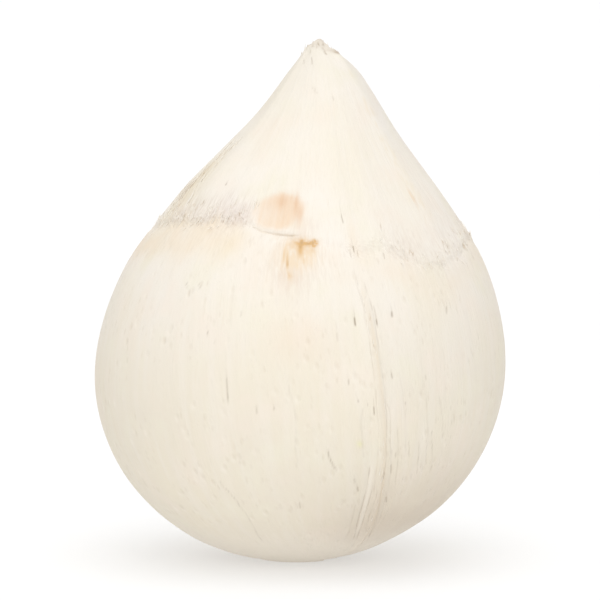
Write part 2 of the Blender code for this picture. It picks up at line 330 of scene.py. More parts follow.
scratches = (
    (((-4.2, 38.6), (-3.7, 35.2), (-3.1, 33.1), (-2.3, 31.7)), 0.36, 0.14, 0.52),
    # long scratches
    (((-26.9, 84.3), (-26.9, 68.2), (-27.4, 60.6)), 0.34, 0.06, 0.1),
    (((-27.4, 61.6), (-27.3, 53.2), (-27.2, 49.4)), 0.24, 0.12, 0.5),
    (((-34.3, 28.8), (-31.8, 22.7), (-30.6, 17.1), (-31.4, 8.8)), 0.34, 0.1, 0.26),
    (((-12.2, 57.9), (-11.5, 52.2), (-11.3, 46.7), (-12.4, 38.2), (-12.9, 32.1)), 0.4, 0.08, 0.12),
    (((27, 40.5), (29, 31.7)), 0.36, 0.1, 0.3),
    (((24.2, 39.8), (25.5, 31.1)), 0.36, 0.08, 0.26),
    (((29.3, 42.4), (32.2, 30)), 0.36, 0.1, 0.3),
    (((20.4, 40.1), (21, 34.3)), 0.36, 0.08, 0.26),
    (((18.4, 60), (19, 47), (19.6, 36)), 0.4, 0.08, 0.15),
    (((26, 58), (27.2, 47), (28.4, 37)), 0.45, 0.06, 0.15),
    (((32.5, 52), (34, 42), (36, 33)), 0.4, 0.06, 0.14),
    (((16.4, 44), (16.9, 36), (17.3, 27)), 0.34, 0.08, 0.2),
    # grooves that flank the welt, and the one beside its branch
    (((10.3, 88), (10.5, 73), (10.5, 60), (10.2, 48), (9.9, 36), (9, 24)), 0.4, 0.16, 0.12),
    (((12.8, 84), (13.2, 73), (13.2, 60), (13, 48), (12.6, 36), (12, 24), (15, 9)), 0.4, 0.18, 0.14),
    (((11.5, 55), (13.9, 48.8), (14.1, 38.5), (14.9, 32.5), (14.6, 22), (15.6, 14)), 0.34, 0.12, 0.14),
    (((7.4, 33), (6.6, 25), (5.4, 18), (5.8, 9)), 0.38, 0.18, 0.26),
    (((8.8, 28), (7.8, 20), (7.6, 9)), 0.3, 0.14, 0.2),
    (((10.4, 26), (9.6, 18), (10.4, 8)), 0.3, 0.12, 0.16),
    (((3.6, 22), (2.6, 15), (2.2, 9)), 0.34, 0.08, 0.14),
    (((6, 50), (5.3, 41.5), (5.6, 34.8)), 0.6, 0.1, 0.14),
)

sideSet = {
    # the sides and the back, which the photo doesn't show, get the same kinds
    "seed": 5, "count": 60,
    "fibres": (90, 270), "heights": (10, 87),
    "lengths": (1.2, 3.4), "widths": (0.4, 0.6), "depths": (0.08, 0.18), "darkness": (0.3, 0.7),
    "scratches": 7, "scratchLengths": (8, 22), "scratchDarkness": 0.4,
    "lean": 0.9, "lowest": 4,
    "longest": 7,  # anything longer is a scratch, and broken up
    # a faint tail above each short dark nick: length, width and darkness against the nick's
    "tail": (0.9, 0.75, 0.3), "tailDarkness": 0.4, "tailLength": 4,
}


def sideMarks():
    draw = random.Random(sideSet["seed"])
    made = []
    for number in range(sideSet["count"] + sideSet["scratches"]):
        scratch = number >= sideSet["count"]
        fibre, height = draw.uniform(*sideSet["fibres"]), draw.uniform(*sideSet["heights"])
        length = draw.uniform(*sideSet["scratchLengths" if scratch else "lengths"])
        lean = draw.gauss(0, sideSet["lean"])
        width, depth = draw.uniform(*sideSet["widths"]), draw.uniform(*sideSet["depths"])
        dark = draw.uniform(*sideSet["darkness"])
        end = max(sideSet["lowest"], height - length)
        if scratch:
            dark *= sideSet["scratchDarkness"]
        made.append((((turned(fibre), height), (turned(fibre) + lean, end)), width, depth, dark))
    return tuple(made)


def upwards(stations):
    return np.array(sorted(stations, key=lambda station: station[1])).T


def markLength(mark):
    return mark[0][0][1] - mark[0][-1][1]


allMarks = tuple((((a, b), (c, d)), *rest) for a, b, c, d, *rest in nicks) + scratches + sideMarks()


# the husk: a flat sheet of fibres by height, cut finer where it needs detail, then rolled up

huskSet = {
    "columns": 336,
    "frontCrowding": 1.2, "frontReach": 70,  # columns stand closer at the front
    "weltCrowding": 4.5, "weltReach": 5.5,  # and closest on the welt
    "rimHeight": 0.0003,
    "flatRows": 4,
    "ballRows": 76,
    "bandRows": 18, "band": 0.0045,  # close rows just under and over the crease
    "coneRows": 38,
    "tipRows": 14, "tipFrom": 0.1435, "tipTo": 0.1496,
    "angleSteps": 1441, "heightSteps": 900,
    "seam": 2e-6,
    # where the sheet is cut finer: first and last fibre, lowest and highest
    "creaseArea": (-84, 92, -0.0026, 0.0034),  # over the crease
    "flapArea": (-31, -3, 0.0945, 0.1005), "spotArea": (-13.5, 0.5, 0.0875, 0.0957),
    "crackArea": (-28, -6, -0.0008, 0.0008),  # over the crack
    "dotArea": (-8.5, 0.2, 0.0912, 0.0955),
    "fineMargin": 0.9,  # millimetres round each mark
    "outerNicks": 44,  # degrees from the front beyond which nicks are cut once more
}


def sheetLayout(tree):
    # where the sheet's columns and rows lie on the husk
    angles = np.linspace(-180, 180, huskSet["angleSteps"])
    crowd = (1 + huskSet["frontCrowding"] * bell(angles / huskSet["frontReach"])
             + huskSet["weltCrowding"] * bell((angles - fibreSet["driftFibre"]) / huskSet["weltReach"]))
    shares = np.concatenate([[0], np.cumsum(crowd[1:] + crowd[:-1])])
    heights = np.linspace(huskSet["rimHeight"], huskSet["tipTo"], huskSet["heightSteps"])
    reaches = [(skinPoint(tree, 0, height) - Vector((axisX(height), 0, height))).length for height in heights]
    along = np.concatenate([[0], np.cumsum(np.hypot(np.diff(reaches), np.diff(heights)))])
    ballTop = float(creaseAt(0)) - huskSet["band"]
    ballLength = np.interp(ballTop, heights, along)
    even = np.interp(np.linspace(0, ballLength, huskSet["ballRows"] + 1), along, heights)
    return {
        "angles": angles, "shares": shares / shares[-1],
        "heights": heights, "along": along,
        "ballShares": even / even[-1],
        "ends": np.cumsum([0, huskSet["flatRows"], huskSet["ballRows"], huskSet["bandRows"],
                           huskSet["coneRows"], huskSet["tipRows"]]),
    }


def sheetPlaces(layout, points):
    # fibre in degrees, row number and height in metres of points on the flat sheet
    ends = layout["ends"]
    fibre = np.interp(points[:, 0] + 0.5, layout["shares"], layout["angles"])
    row = (points[:, 1] + 0.5) * (ends[-1] + 1)
    low = creaseAt(fibre) - huskSet["band"]
    high = low + 2 * huskSet["band"]
    ball = low * np.interp(row, np.arange(ends[1], ends[2] + 1), layout["ballShares"])
    band = low + (high - low) * (row - ends[2]) / huskSet["bandRows"]
    cone = high + (huskSet["tipFrom"] - high) * (row - ends[3]) / huskSet["coneRows"]
    tip = huskSet["tipFrom"] + (huskSet["tipTo"] - huskSet["tipFrom"]) * (row - ends[4]) / huskSet["tipRows"]
    height = np.select([row < ends[2], row < ends[3], row < ends[4]], [ball, band, cone], tip)
    return fibre, row, np.clip(height, huskSet["rimHeight"], huskSet["tipTo"])


def nearMark(fibre, height, margin, chosen):
    near = np.zeros(len(fibre), dtype=bool)
    for stations, width, depth, dark in chosen:
        fibres, heights = upwards(stations)
        off = turned(fibre - np.interp(height * 1000, heights, fibres))
        across = np.abs(np.radians(off)) * fibreSet["widest"] * 1000
        inside = (height * 1000 > heights[0] - margin) & (height * 1000 < heights[-1] + margin)
        near |= inside & (across < width / 2 + margin)
    return near


def cutFiner(sheet, layout, chooses):
    # one more cut through the faces that chooses(fibre, height) picks
    editMode("FACE", "DESELECT")
    grid = bmesh.from_edit_mesh(sheet.data)
    middles = np.array([face.calc_center_median() for face in grid.faces])
    fibre, row, height = sheetPlaces(layout, middles)
    picked = chooses(fibre, height) & (row > layout["ends"][1])
    for face, pick in zip(grid.faces, picked):
        if pick:
            face.select_set(True)
    bmesh.update_edit_mesh(sheet.data)
    bpy.ops.mesh.subdivide(number_cuts=1)
    bpy.ops.object.mode_set(mode="OBJECT")


def joinUncutEdges(sheet):
    # a point that only halves an edge goes, or else two triangles could lie on each other there
    editMode("VERT", "DESELECT")
    grid = bmesh.from_edit_mesh(sheet.data)
    for point in grid.verts:
        if len(point.link_edges) == 2 and not point.is_boundary:
            point.select_set(True)
    bmesh.update_edit_mesh(sheet.data)
    bpy.ops.mesh.dissolve_verts()
    bpy.ops.object.mode_set(mode="OBJECT")


def fineAreas():
    margin = huskSet["fineMargin"]
    outerNicks = [mark for mark in allMarks
                  if abs(mark[0][0][0]) > huskSet["outerNicks"] and markLength(mark) < sideSet["longest"]]

    def inArea(name, fibre, height):
        first, last, low, high = huskSet[name]
        return (fibre > first) & (fibre < last) & (height > low) & (height < high)

    def frontCrease(fibre, height):
        return inArea("creaseArea", fibre, height - creaseAt(fibre))

    def flapAndSpots(fibre, height):
        return (inArea("flapArea", fibre, height) | inArea("spotArea", fibre, height)
                | nearMark(fibre, height, margin, allMarks))

    def crackAndDots(fibre, height):
        return (inArea("crackArea", fibre, height - crackAt(fibre)) | inArea("dotArea", fibre, height)
                | nearMark(fibre, height, margin / 3, outerNicks))

    return frontCrease, flapAndSpots, crackAndDots


def rollUp(sheet, layout, tree):
    # each point of the sheet goes out from the fibres' axis to the guide's skin
    fibre, row, height = sheetPlaces(layout, triples(sheet.data.vertices, "co"))
    ends = layout["ends"]
    pole = Vector((fibreSet["poleX"], 0, 0))
    top = Vector((fibreSet["tipX"], 0, fibreSet["height"]))
    rolled = []
    for f, r, h in zip(fibre.tolist(), row.tolist(), height.tolist()):
        place = skinPoint(tree, f, h)
        if r < ends[1]:
            rim = Vector((place.x, place.y, 0))
            place = pole.lerp(rim, r / ends[1])
        elif r > ends[5]:
            place = place.lerp(top, min(1, r - ends[5]))
        rolled.append(place)
    keepValues(sheet.data, "fibre", fibre)
    keepValues(sheet.data, "row", row)
    moveVertices(sheet.data, np.array(rolled))
    editMode("VERT", "SELECT")
    bpy.ops.mesh.remove_doubles(threshold=huskSet["seam"])
    bpy.ops.object.mode_set(mode="OBJECT")


# relief of the skin, all in metres

reliefSet = {
    "strokes": (0.011, 0.07, 0.00016),  # across, along, height: broad strokes of the blade
    "fibres": (0.0024, 0.018, 0.0001),  # bundles of fibres
    "threads": (0.0012, 0.008, 0.00005),  # single fibres
    "onCone": 0.55,  # the knife leaves the cone smoother
    "poleReach": 0.022,  # fibres fade where they crowd together
    "flatFade": 3,  # rows over which the relief sets in beside the flat spot
    # the torn band along the crease: how it wanders (height, across, along), and wears round the husk
    "wander": ((0.0016, 0.009, None), (0.001, 0.0022, 0.02)),
    "wear": (0.75, 0.6, 0.03), "wearLimits": (0.2, 1.2),
    "underScoop": (0.92, (-31, 6, 12, 8)),  # how much calmer, and where
    "calmRight": (0.75, 64, 15),  # how much calmer, middle fibre, reach
    "teeth": (0.0009, 0.0045, 0.00034),  # torn ends
    "teethBand": (0.001, 0.0027),  # height over the crease, reach
    "teethLean": 2500,  # degrees sideways for each metre up
    "crumbs": (0.0011, 0.00012),  # across, height
    # nicks between the torn ends
    "ticks": (0.0006, 0.0015, 0.00012), "specks": 0.0008, "tickMix": 0.6, "tickFrom": (0.05, 0.3),
    "tickAbove": 0.0008, "tickReach": (0.0017, 0.0028), "tickShare": (0.85, 0.4),  # left and right
    "tickFarLeft": (0.3, -46, 14),  # how many fewer, from which fibre, over how many degrees
    "tickWear": (0.3, 1.1),
    # the crack under the scoop: depth and width, and its thin lip: height, place above the crack, reach
    "crackFibres": (-28.5, 7, -6.5, 4), "crack": (0.00042, 0.00017), "lip": (0.00034, 0.0009, 0.0008),
    # marks: sideways waver in degrees, how broken up they are
    "markWaver": (0.5, 0.004, 0.006), "markPatches": (0.75, 1.3, 0.003, 0.0035), "patchLimits": (0.25, 1.15),
    "taper": (0.22, 0.3, 1.2),  # of a mark: share of its length, least and most in millimetres
    "rags": (0.0013, 0.00055, 0.1445, 0.003),  # at the tip: across, height, from where, over how much
}

# where the crack runs: fibre in degrees, height in millimetres
crackStations = ((-29, 99.3), (-26.5, 98.7), (-23.5, 97.6), (-21.5, 97.1), (-18, 96.6), (-14.5, 96.3),
                 (-11, 96.15), (-8, 96.2), (-6, 96.5))


def crackAt(fibre):
    fibres, heights = np.array(crackStations).T
    return np.interp(fibre, fibres, heights) / 1000


def alongFibres(fibre, along, across, length, shift=0):
    # noise stretched along the fibres; with no length it only changes round the husk
    turn = np.radians(fibre)
    ring = fibreSet["widest"] / across
    rise = along / length if length else along * 0
    return noiseAt(np.stack([np.cos(turn) * ring + shift, np.sin(turn) * ring, rise], axis=1))


def markShape(fibre, height, reach, waver, mark):
    # from 0 to 1 in the middle of a mark
    stations, width = mark[0], mark[1]
    fibres, heights = upwards(stations)
    millimetres = height * 1000
    off = turned(fibre - np.interp(millimetres, heights, fibres)) + waver
    across = np.radians(off) * reach * 1000
    share, least, most = reliefSet["taper"]
    taper = min(max(least, share * (heights[-1] - heights[0])), most)
    return bell(across / (width / 2)) * window(millimetres, heights[0], taper, heights[-1], taper)


def markTail(fibre, height, reach, waver, mark):
    length, width, dark = sideSet["tail"]
    (topFibre, topHeight), (lowFibre, lowHeight) = mark[0][0], mark[0][-1]
    rise = length * (topHeight - lowHeight)
    tail = ((topFibre + length * (topFibre - lowFibre), topHeight + rise), (lowFibre, lowHeight))
    return mark[3] * dark * markShape(fibre, height, reach, waver, (tail, mark[1] * width))


def carveMarks(fibre, height, reach, along):
    # how deep and how dark all the marks are
    depth, scar = np.zeros(len(fibre)), np.zeros(len(fibre))
    degrees, across, length = reliefSet["markWaver"]
    waver = degrees * alongFibres(fibre, along, across, length, shift=13)
    middle, swing, across, length = reliefSet["markPatches"]
    least, most = reliefSet["patchLimits"]
    patchy = np.clip(middle + swing * alongFibres(fibre, along, across, length, shift=17), least, most)
    for mark in allMarks:
        shape = markShape(fibre, height, reach, waver, mark)
        if markLength(mark) > sideSet["longest"]:
            shape = shape * np.maximum(patchy, least + mark[3])  # dark ones are less broken up
        depth += shape * mark[2] / 1000
        scar = np.maximum(scar, shape * mark[3])
        if mark[3] > sideSet["tailDarkness"] and markLength(mark) < sideSet["tailLength"]:
            scar = np.maximum(scar, markTail(fibre, height, reach, waver, mark))
    return depth, scar


def carveHusk(husk, layout):
    mesh, relief = husk.data, reliefSet
    places, normals = triples(mesh.vertices, "co"), triples(mesh.vertex_normals, "vector")
    fibre, row = keptValues(mesh, "fibre"), keptValues(mesh, "row")
    height = places[:, 2]
    reach = np.hypot(places[:, 0] - axisX(height), places[:, 1])
    along = np.interp(height, layout["heights"], layout["along"])
    above = height - creaseAt(fibre)
    # strokes and fibres
    spread = smoothStep(reach / relief["poleReach"])
    cone = np.where(above > 0, relief["onCone"], 1)
    lift = np.zeros(len(fibre))
    for name in ("strokes", "fibres", "threads"):
        across, length, size = relief[name]
        lift += size * alongFibres(fibre, along, across, length) * spread * (cone if name != "strokes" else 1)
    # torn ends at the crease, stronger in some places
    wavy = sum(size * alongFibres(fibre, along, across, length, shift)
               for (size, across, length), shift in zip(relief["wander"], (31, 37)))
    middle, swing, across = relief["wear"]
    worn = middle + swing * alongFibres(fibre, along, across, None, shift=7)
    (share, fibres), (less, centre, fade) = relief["underScoop"], relief["calmRight"]
    calm = np.maximum(0, 1 - share * window(fibre, *fibres) - less * bell((fibre - centre) / fade))
    middle, fade = relief["teethBand"]
    nearCrease = bell((above - middle) / fade) * np.clip(worn, *relief["wearLimits"]) * calm
    across, length, size = relief["teeth"]
    leaning = fibre + above * relief["teethLean"]
    lift += size * nearCrease * alongFibres(leaning, along, across, length, shift=3)
    across, size = relief["crumbs"]
    lift += size * nearCrease * noiseAt(places / across)
    # the crack and its lip
    off, beside = height - crackAt(fibre), window(fibre, *relief["crackFibres"])
    depth, wide = relief["crack"]
    lift -= depth * beside * bell(off / wide)
    rise, middle, wide = relief["lip"]
    lift += rise * beside * bell((off - middle) / wide)
    depth, scar = carveMarks(fibre, height, reach, along)
    lift -= depth
    # nicks between the torn ends
    across, length, size = relief["ticks"]
    ticks = alongFibres(fibre, along, across, length, shift=11) + noiseAt(places / relief["specks"])
    start, fade = relief["tickFrom"]
    ticked = smoothStep((relief["tickMix"] * ticks - start) / fade)
    left, right = relief["tickReach"]
    ticked *= bell((above + wavy - relief["tickAbove"]) / np.where(fibre > 0, right, left))
    left, right = relief["tickShare"]
    less, start, fade = relief["tickFarLeft"]
    ticked *= np.where(fibre > 0, right, left - less * smoothStep((start - fibre) / fade))
    ticked *= np.clip(worn, *relief["tickWear"]) * calm
    lift -= size * ticked
    # rags at the tip
    across, rise, start, fade = relief["rags"]
    lift += rise * smoothStep((height - start) / fade) * noiseAt(places / across)
    onSide = smoothStep((row - layout["ends"][1]) / relief["flatFade"])
    moveVertices(mesh, places + normals * (lift * onSide)[:, None])
    turn = np.radians(fibre)
    keepVectors(mesh, "fibreSpace", np.stack([np.cos(turn), np.sin(turn), along], axis=1))
    keepValues(mesh, "scar", scar)
    keepValues(mesh, "nick", ticked)
    stains = stainMasks(fibre, height, above + wavy, reach, along, places)
    for name, values in stains.items():
        keepValues(mesh, name, np.clip(values, 0, 1))


# stains of the skin, and painted shade and light low down: fibres in degrees, the rest in millimetres

stainSet = {
    # spots: middle fibre, height, reach sideways, reach up and down, strength
    "peach": ((-8, 68, 9, 6.5, 0.22),),
    "scoopEdge": ((-6.5, 98.8, 3.4, 4.6, 0.16),),
    "streak": ((-16.4, 105.2, 1.5, 1.7, 0.8), (-15.6, 105.4, 0.45, 2.0, 0.7), (-10.0, 104.8, 0.7, 2.4, 1.1),
               (-8.5, 101.6, 1.1, 2.4, 1.2), (-12.4, 106.4, 0.5, 1.2, 0.4), (-22.5, 104.4, 0.8, 1.5, 0.3)),
    "cores": ((-6.5, 94.4, 0.45, 0.55, 0.6), (-6.8, 93.3, 0.42, 0.45, 0.42), (-4.3, 94.1, 0.75, 0.3, 0.4),
              (-2.7, 94.3, 0.32, 0.55, 0.36), (-10.8, 88.8, 0.26, 1.0, 0.34)),
    "halo": ((-8.4, 94.2, 2.0, 1.4, 0.42), (-4.4, 93.4, 3.0, 1.8, 0.24)),
    "drips": ((-6.7, 92.2, 0.8, 1.5, 0.7), (-2.4, 92.4, 0.7, 1.0, 0.2), (47.6, 105.9, 0.45, 1.9, 0.4),
              (-12.0, 91.2, 0.22, 1.9, 0.6), (-10.9, 90.0, 0.22, 1.9, 0.7), (-10.8, 88.7, 0.22, 0.7, 0.8),
              (-10.1, 85.8, 0.22, 0.9, 0.6), (-9.3, 85.0, 0.22, 0.9, 0.5), (-9.9, 82.2, 0.22, 0.8, 0.35),
              (-5.6, 89.6, 0.22, 0.9, 0.3)),
    "mottledTea": ((-7.6, 91.4, 4.8, 3.8, 1.0), (-10, 86, 3.6, 4.2, 0.34)),
    "plainTea": ((-14, 99.4, 5.5, 1.5, 0.42), (11.5, 96, 1.6, 4.5, 0.3), (14, 91.5, 3, 3, 0.22),
                 (-11.4, 91.2, 0.9, 2.2, 0.45)),
    "mottledMauve": ((-9.5, 87.2, 4.8, 5.4, 1.25), (47.4, 103.4, 1.2, 3.0, 0.5), (-5.0, 98.6, 3.6, 1.9, 0.4)),
    "scoopGrey": ((-32, 100.6, 3.4, 2.4, 1.0),),
    "burnt": ((-77, 106.6, 2.6, 4.2, 0.8), (-74, 112.5, 2.0, 3.0, 0.5)),
    "tipKnots": ((56, 146.0, 1.0, 0.5, 1.4), (40, 146.6, 1.6, 0.6, 0.25)),
    "pale": ((4.7, 58, 4.2, 9, 0.5),),
    "moss": ((4.6, 39.5, 0.8, 0.9, 1.0),),
    "frayed": ((-8, 90, 9.5, 7.5, 0.65),),
    # painted shade: a darker spot low by the welt, part of the painted shade low down
    "paintedLowShade": ((12.5, 12, 4.5, 13, 0.3),),
    # bands along the crease: height over it, reach up and down, first and last fibre, soft ends
    "leftBand": (3.6, 3.4, -80, -24, 9),
    "rightBand": (4.0, 5.6, 16, 98, 12),
    "tornBand": (-0.5, 1.6, -72, -26, 8),
    "backBand": (3.0, 4.0), "backFrom": (90, 12),
    "underBand": (-5.0, 4.2),
    # lines down the welt: middle fibre, half width, then where each begins and ends, each with its fade
    "strand": (11.7, 0.9, (1, 4, 88, 10)),
    "ribbon": (12.2, 0.55, (1, 4, 80, 10)),
    "branch": (8.3, 0.6, (8, 6, 36, 4)), "branchLean": 0.09, "branchFrom": 34.7,
    # the flush in the scoop: middle fibre, height, half width, half height
    "flush": (-17.9, 102.4, 7.1, 4.9),
    # the rusty dots and the bar between them: fibre, reach sideways, reach up and down, strength
    "rustHeight": 94.3, "rustRagged": 0.35,
    "blot": (-6.7, 0.8, 0.95, 1.1),
    "loop": (-2.1, 0.55, 0.5, 0.85), "loopFill": (1.0, 0.35),
    "bar": (0.1, 0.62, (-7.4, 1.6, -1.2, 1.6)),
}


def stainMasks(fibre, height, above, reach, along, places):
    # how strong each stain, and the painted shade and light, is at each point
    stains = stainSet
    mm, over = height * 1000, above * 1000

    def across(centre):
        return np.radians(turned(fibre - centre)) * reach * 1000  # millimetres from a fibre

    def spots(name):
        return sum(strength * bell(across(middle) / wide) * bell((mm - level) / tall)
                   for middle, level, wide, tall, strength in stains[name])

    def band(name):
        middle, tall, first, last, fade = stains[name]
        return bell((over - middle) / tall) * window(fibre, first, fade, last, fade)

    def line(name, lean=0):
        middle, wide, heights = stains[name]
        return bell(across(middle - lean) / wide) * window(mm, *heights)

    soft = noiseAt(places / 0.006)
    ragged = noiseAt(places / 0.0011)
    fine = alongFibres(fibre, along, 0.0015, 0.02, shift=5)
    short = alongFibres(fibre, along, 0.0008, 0.004, shift=23)
    specks = smoothStep((noiseAt(places / 0.0012) + 0.4 * short - 0.05) / 0.3)
    # the flush in the scoop, strongest at its top right
    middle, level, wide, tall = stains["flush"]
    oval = np.hypot(across(middle) / wide, (mm - level) / tall)
    topRight = smoothStep((0.5 * across(middle) + 0.9 * (mm - level) + 3) / 7)
    blush = smoothStep((1.2 - oval + 0.16 * soft) / 0.42)
    blush = blush * (0.54 + 0.46 * topRight + 0.4 * fine + 0.2 * soft)
    # the two rusty dots with their bar, and what has run down from them
    off = mm - stains["rustHeight"] - stains["rustRagged"] * ragged
    middle, wide, tall, strength = stains["blot"]
    blot = strength * bell(np.hypot(across(middle + fine) / wide, off / tall))
    middle, ring, wide, strength = stains["loop"]
    fill, fillStrength = stains["loopFill"]
    away = np.hypot(across(middle), off)
    loop = strength * bell((away - ring) / wide) + fillStrength * bell(away / fill)
    drop, tall, fibres = stains["bar"]
    bar = bell((off + drop) / tall) * window(fibre, *fibres)
    dots = np.maximum(np.maximum(blot, loop), bar) * (0.85 + 0.5 * noiseAt(places / 0.0006))
    halo = spots("halo") * (1 + 0.6 * ragged)
    drips = spots("drips")
    tea = spots("mottledTea") * np.maximum(0.2, 1.05 + 1.3 * short + 0.4 * ragged) + spots("plainTea")
    mauve = spots("mottledMauve") * np.maximum(0.1, 0.95 + 0.6 * ragged + 1.6 * short)
    # greyer bands over the crease, tan ones under it
    worn = 0.8 + 0.5 * soft
    left = band("leftBand") * (1 - 0.3 * smoothStep((-48 - fibre) / 12)) + spots("scoopGrey")
    right = band("rightBand")
    middle, tall = stains["backBand"]
    start, fade = stains["backFrom"]
    back = bell((over - middle) / tall) * smoothStep((np.abs(fibre) - start) / fade)
    middle, tall = stains["underBand"]
    under = bell((over - middle) / tall) * (0.4 + 0.7 * smoothStep((-24 - fibre) / 10))
    under = under * (1 - 0.5 * bell((fibre - 5) / 16)) + 0.3 * band("tornBand")
    underTorn = under * window(fibre, -72, 8, -26, 8)
    # the weathered strip at the left, and the ridge between two knife cuts at the right
    strip = bell(turned(fibre + 72) / 8.5) * smoothStep((over + 1) / 6) * smoothStep((121 - mm) / 8)
    burnt = spots("burnt") * smoothStep((short + 0.05) / 0.3)
    ridge = bell(turned(fibre - 50) / 4.5) * smoothStep((over - 8) / 6) * smoothStep((146 - mm) / 10)
    # down the welt, and the tip
    strand, ribbon = line("strand"), line("ribbon")
    branch = line("branch", stains["branchLean"] * (stains["branchFrom"] - mm))
    tip = smoothStep((mm - 146.4) / 2.2)
    # painted shade: darker on the lower front and right, where the husk turns away from the light
    paintedLowShade = window(fibre, -25, 40, 95, 40) * window(mm, 3, 8, 44, 34) + spots("paintedLowShade")
    return {
        "blush": np.maximum(blush, spots("scoopEdge")) + spots("peach"),
        "streak": spots("streak") * (0.85 + 0.9 * fine),
        "rust": dots + halo + drips,
        "tea": tea + 0.66 * under * worn + 0.14 * strand + 0.24 * ribbon + 0.6 * drips,
        "mauve": (0.9 * left + 0.26 * right + 0.7 * back) * worn + mauve,
        "weather": strip * (0.8 + 0.5 * fine) + 0.45 * ridge * specks,
        "burnt": burnt + spots("cores") + 0.26 * tip + spots("tipKnots"),
        "pale": 0.7 * branch + spots("pale"),
        "moss": spots("moss"),
        "fray": 1.2 * left + 0.3 * underTorn + 0.36 * right + 0.7 * back + 1.4 * strip + spots("frayed"),
        "speckle": specks * (0.6 * right + 0.35 * left + 0.5 * back),
        # lighter above, darker towards the bottom; the darkening is partly painted shade
        "low": smoothStep((97 - mm) / 55),
        # painted light: lighter at the very bottom, standing in for light from below
        "paintedFootLight": smoothStep((16 - mm) / 13),
        "paintedLowShade": paintedLowShade * (0.95 + 0.2 * soft),
        "rough": 0.25 + 0.75 * smoothStep((2 - over) / 6),
    }


def shaveHuskSheet(guideTree):
    layout = sheetLayout(guideTree)
    bpy.ops.object.select_all(action="DESELECT")
    bpy.ops.mesh.primitive_grid_add(x_subdivisions=huskSet["columns"], y_subdivisions=int(layout["ends"][-1]) + 1,
                                    size=1)
    husk = bpy.context.object
    husk.name = "shavedHusk"
    print("sheet", len(husk.data.polygons), "faces")
    for chooses in fineAreas():
        cutFiner(husk, layout, chooses)
        print("finer sheet", len(husk.data.polygons), "faces")
    joinUncutEdges(husk)
    rollUp(husk, layout, guideTree)
    print("rolled up", len(husk.data.vertices), "points")
    carveHusk(husk, layout)
    husk.data.calc_loop_triangles()
    print("carved,", len(husk.data.loop_triangles), "triangles")
    return husk


# the finish of the husk

huskFinish = {
    # cream, the lower half's colour, is kept darker partly as painted shade
    "cream": (0.795, 0.733, 0.622, 1), "butter": (0.815, 0.748, 0.614, 1),
    "chalk": (0.848, 0.799, 0.731, 1), "petal": (0.842, 0.752, 0.655, 1),
    # straw, and a darker tan for the painted shade low on the front and right
    "straw": (0.815, 0.77, 0.64, 1), "paintedLowShade": (0.625, 0.54, 0.45, 1),
    "thread": (0.77, 0.68, 0.545, 1), "fleck": (0.56, 0.465, 0.34, 1),
    "scar": (0.3, 0.235, 0.165, 1),
    "nick": (0.5, 0.37, 0.27, 1), "speckle": (0.5, 0.37, 0.27, 1),
    "frayDarkAndShade": (0.59, 0.5, 0.41, 1), "frayLightAndHighlight": (0.93, 0.89, 0.815, 1),
    "blush": (0.8, 0.6, 0.425, 1), "streak": (0.73, 0.5, 0.33, 1),
    "rust": (0.64, 0.35, 0.085, 1), "tea": (0.815, 0.665, 0.48, 1),
    "mauve": (0.735, 0.645, 0.588, 1), "weather": (0.78, 0.67, 0.48, 1),
    "burnt": (0.42, 0.31, 0.21, 1), "pale": (0.88, 0.82, 0.72, 1),
    # moss, and a lighter cream for the painted light at the very bottom
    "moss": (0.78, 0.76, 0.42, 1), "paintedFootLight": (0.86, 0.8, 0.71, 1),
    "clouds": {"cloud": 28.0, "smallCloud": 75.0, "groups": 90.0}, "groupsFrom": 0.42, "groupsTo": 0.58,
    # streaks: metres across and along the fibres, detail, place
    "streaks": {"bundles": (0.0032, 0.03, 2.0, 0.0), "threads": (0.001, 0.007, 3.0, 0.0),
                "fineThreads": (0.0005, 0.004, 2.0, 4.0), "fray": (0.0006, 0.0034, 2.0, 7.0)},
    # flecks: metres across and along, how far out they are full and end, place
    "flecks": {"pits": (0.0017, 0.0046, 0.08, 0.3, (0, 0, 0)), "grains": (0.0011, 0.0018, 0.1, 0.3, (9, 9, 0)),
               # dimples, darkened partly as painted shade, and pale rims round them as painted highlight
               "dimplesWithPaintedShade": (0.003, 0.0052, 0.06, 0.28, (0, 0, 0)),
               "paintedHighlightRims": (0.003, 0.0052, 0.06, 0.32, (0, 0.2, 0.16))},
    # patterns in the order that they are laid on: where each begins and is full, strength, colour
    "layers": (("cloud", 0.38, 0.62, 0.6, "butter"), ("smallCloud", 0.52, 0.68, 0.45, "petal"),
               ("smallCloud", 0.46, 0.32, 0.55, "straw"), ("bundles", 0.45, 0.7, 0.28, "chalk"),
               # a painted highlight round each dimple, and the dimples darkened partly as painted shade
               ("paintedHighlightRims", 0.0, 1.0, 0.5, "pale"), ("dimplesWithPaintedShade", 0.0, 1.0, 0.2, "fleck"),
               ("threads", 0.58, 0.8, 0.22, "thread"), ("fineThreads", 0.6, 0.8, 0.16, "thread"),
               ("pits", 0.0, 1.0, 0.16, "fleck")),
    # over the torn fibres: dark streaks, partly painted shade between fibres, and light ones, partly painted
    # highlight on them
    "frayedLightAndShadeLayers": ((0.5, 0.64, 0.34, "frayDarkAndShade"), (0.5, 0.36, 0.6, "frayLightAndHighlight")),
    # then the stains, with the painted shade low down and the painted light at the very bottom, each in its own
    # colour
    "stains": (("paintedLowShade", 0.68), ("paintedFootLight", 0.8), ("weather", 0.6), ("mauve", 0.6), ("tea", 0.8), ("pale", 0.6),
               ("blush", 0.75), ("streak", 0.7), ("moss", 0.5), ("speckle", 0.16), ("nick", 0.36), ("rust", 0.75),
               ("burnt", 0.7), ("scar", 0.9)),
    "roughness": (0.55, 0.75), "specular": 0.15,
    # how far each pattern stands out in the bump
    "relief": (("threads", 1.0), ("fineThreads", 1.0), ("pits", -1.0), ("grains", 0.5), ("dimplesWithPaintedShade", -1.5)),
    "frayedRelief": -2.0,
    "bump": 0.35, "bumpDepth": 0.00025,
}


